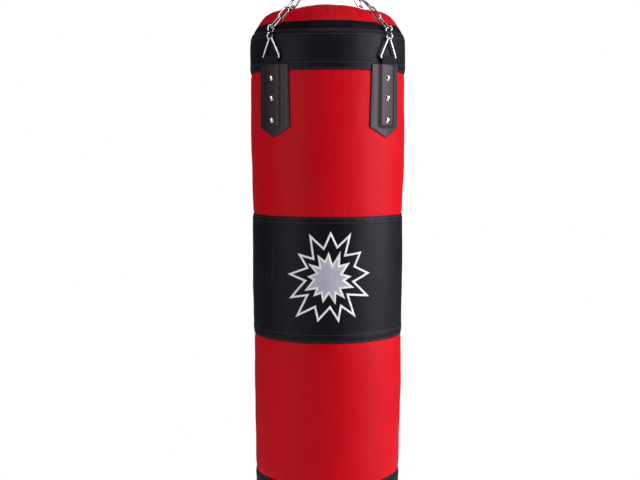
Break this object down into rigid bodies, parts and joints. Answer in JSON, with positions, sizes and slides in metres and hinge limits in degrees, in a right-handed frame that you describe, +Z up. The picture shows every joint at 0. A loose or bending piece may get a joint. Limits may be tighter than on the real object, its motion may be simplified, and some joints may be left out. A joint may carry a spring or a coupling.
{
  "type": "hanging punching bag",
  "caption": "Filled cylindrical punching bag hung by chains from a ball-bearing swivel, with riveted straps, delta rings, a snap hook and a zipped lid.",
  "frame": {"origin": "centre of the hanging eye's hole at the top of the swivel", "axes": "+Z up along the bag's axis, -Y towards the bag's front, where the emblem is, +X to the right as seen from the front"},
  "size_m": [0.3, 0.3, 1.26],
  "materials": {
    "red_cover": "satin",
    "black_cover": "satin",
    "strap_leather": "satin",
    "webbing": "matte",
    "zip_cloth": "matte",
    "zip_teeth": "satin",
    "foam": "matte",
    "textile_fill": "matte",
    "bright_steel": "polished",
    "rivet_nickel": "polished",
    "dark_steel": "satin"
  },
  "bodies": {
    "swivel_top": {"swivel_eye": "bright_steel", "bearing_race": "dark_steel", "bearing_balls": "dark_steel", "swivel_nut": "dark_steel"},
    "yoke": {"swivel_yoke": "bright_steel"},
    "hook": {"snap_hook": "bright_steel", "gate_pin": "dark_steel"},
    "gate": {"snap_gate": "bright_steel", "gate_spring": "dark_steel"},
    "bag": {"lid": "red_cover", "lid_binding": "black_cover", "top_band": "black_cover", "upper_panel": "red_cover", "middle_band": "black_cover", "lower_panel": "red_cover", "bottom_band": "black_cover", "bottom_disc": "black_cover", "foam_liner": "foam", "filling": "textile_fill", "rivets": "rivet_nickel", "rivet_washers": "dark_steel", "zip_tape": "zip_cloth", "zip_coil": "zip_teeth", "gather_ring": "bright_steel", "strap_patch_front_left": "strap_leather", "strap_patch_front_right": "strap_leather", "strap_patch_back_right": "strap_leather", "strap_patch_back_left": "strap_leather", "strap_loop_front_left": "webbing", "strap_loop_front_right": "webbing", "strap_loop_back_right": "webbing", "strap_loop_back_left": "webbing", "chain_front_left": "bright_steel", "chain_front_right": "bright_steel", "chain_back_right": "bright_steel", "chain_back_left": "bright_steel"},
    "slider": {"zip_slider": "bright_steel"},
    "pull": {"zip_pull": "bright_steel"},
    "delta_front_left": {"delta_ring_front_left": "bright_steel"},
    "s_front_left": {"s_hook_front_left": "bright_steel"},
    "delta_front_right": {"delta_ring_front_right": "bright_steel"},
    "s_front_right": {"s_hook_front_right": "bright_steel"},
    "delta_back_right": {"delta_ring_back_right": "bright_steel"},
    "s_back_right": {"s_hook_back_right": "bright_steel"},
    "delta_back_left": {"delta_ring_back_left": "bright_steel"},
    "s_back_left": {"s_hook_back_left": "bright_steel"}
  },
  "joints": [
    {"name": "swivel_spin", "type": "hinge", "parent": "swivel_top", "child": "yoke", "pos_m": [0, 0, -0.031], "axis": [0, 0, 1], "continuous": true},
    {"name": "hook_swing", "type": "hinge", "parent": "yoke", "child": "hook", "pos_m": [0, 0, -0.059], "axis": [1, 0, 0], "range_deg": [-40, 40]},
    {"name": "gate_open", "type": "hinge", "parent": "hook", "child": "gate", "pos_m": [0, 0.01556, -0.1015], "axis": [1, 0, 0], "range_deg": [0, 25], "stiffness_Nm_per_rad": 0.06, "springref_deg": -17.19},
    {"name": "bag_swing", "type": "hinge", "parent": "hook", "child": "bag", "pos_m": [0, 0, -0.123], "axis": [0, 1, 0], "range_deg": [-40, 40]},
    {"name": "zip_travel", "type": "hinge", "parent": "bag", "child": "slider", "pos_m": [0, 0, -0.83], "axis": [0, 1, 0], "range_deg": [0, 14.6]},
    {"name": "zip_pull_flip", "type": "hinge", "parent": "slider", "child": "pull", "pos_m": [-0.07609, 0, -0.23605], "axis": [0, 1, 0], "range_deg": [0, 150]},
    {"name": "delta_tilt_front_left", "type": "hinge", "parent": "bag", "child": "delta_front_left", "pos_m": [-0.10445, -0.11398, -0.341], "axis": [0.7373, -0.6756, 0], "range_deg": [0, 3.5]},
    {"name": "s_hook_tilt_front_left", "type": "hinge", "parent": "bag", "child": "s_front_left", "pos_m": [-0.10392, -0.11341, -0.28536], "axis": [0.7373, -0.6756, 0], "range_deg": [-4.6, 0]},
    {"name": "delta_tilt_front_right", "type": "hinge", "parent": "bag", "child": "delta_front_right", "pos_m": [0.11214, -0.10642, -0.341], "axis": [0.6884, 0.7254, 0], "range_deg": [0, 3.5]},
    {"name": "s_hook_tilt_front_right", "type": "hinge", "parent": "bag", "child": "s_front_right", "pos_m": [0.11158, -0.10589, -0.28536], "axis": [0.6884, 0.7254, 0], "range_deg": [-4.6, 0]},
    {"name": "delta_tilt_back_right", "type": "hinge", "parent": "bag", "child": "delta_back_right", "pos_m": [0.10642, 0.11214, -0.341], "axis": [-0.7254, 0.6884, 0], "range_deg": [0, 3.5]},
    {"name": "s_hook_tilt_back_right", "type": "hinge", "parent": "bag", "child": "s_back_right", "pos_m": [0.10589, 0.11158, -0.28536], "axis": [-0.7254, 0.6884, 0], "range_deg": [-4.6, 0]},
    {"name": "delta_tilt_back_left", "type": "hinge", "parent": "bag", "child": "delta_back_left", "pos_m": [-0.11214, 0.10642, -0.341], "axis": [-0.6884, -0.7254, 0], "range_deg": [0, 3.5]},
    {"name": "s_hook_tilt_back_left", "type": "hinge", "parent": "bag", "child": "s_back_left", "pos_m": [-0.11158, 0.10589, -0.28536], "axis": [-0.6884, -0.7254, 0], "range_deg": [-4.6, 0]}
  ],
  "couplings": [
    {"joint": "s_hook_tilt_front_left", "follows": "delta_tilt_front_left", "ratio": -1.3},
    {"joint": "s_hook_tilt_front_right", "follows": "delta_tilt_front_right", "ratio": -1.3},
    {"joint": "s_hook_tilt_back_right", "follows": "delta_tilt_back_right", "ratio": -1.3},
    {"joint": "s_hook_tilt_back_left", "follows": "delta_tilt_back_left", "ratio": -1.3}
  ]
}
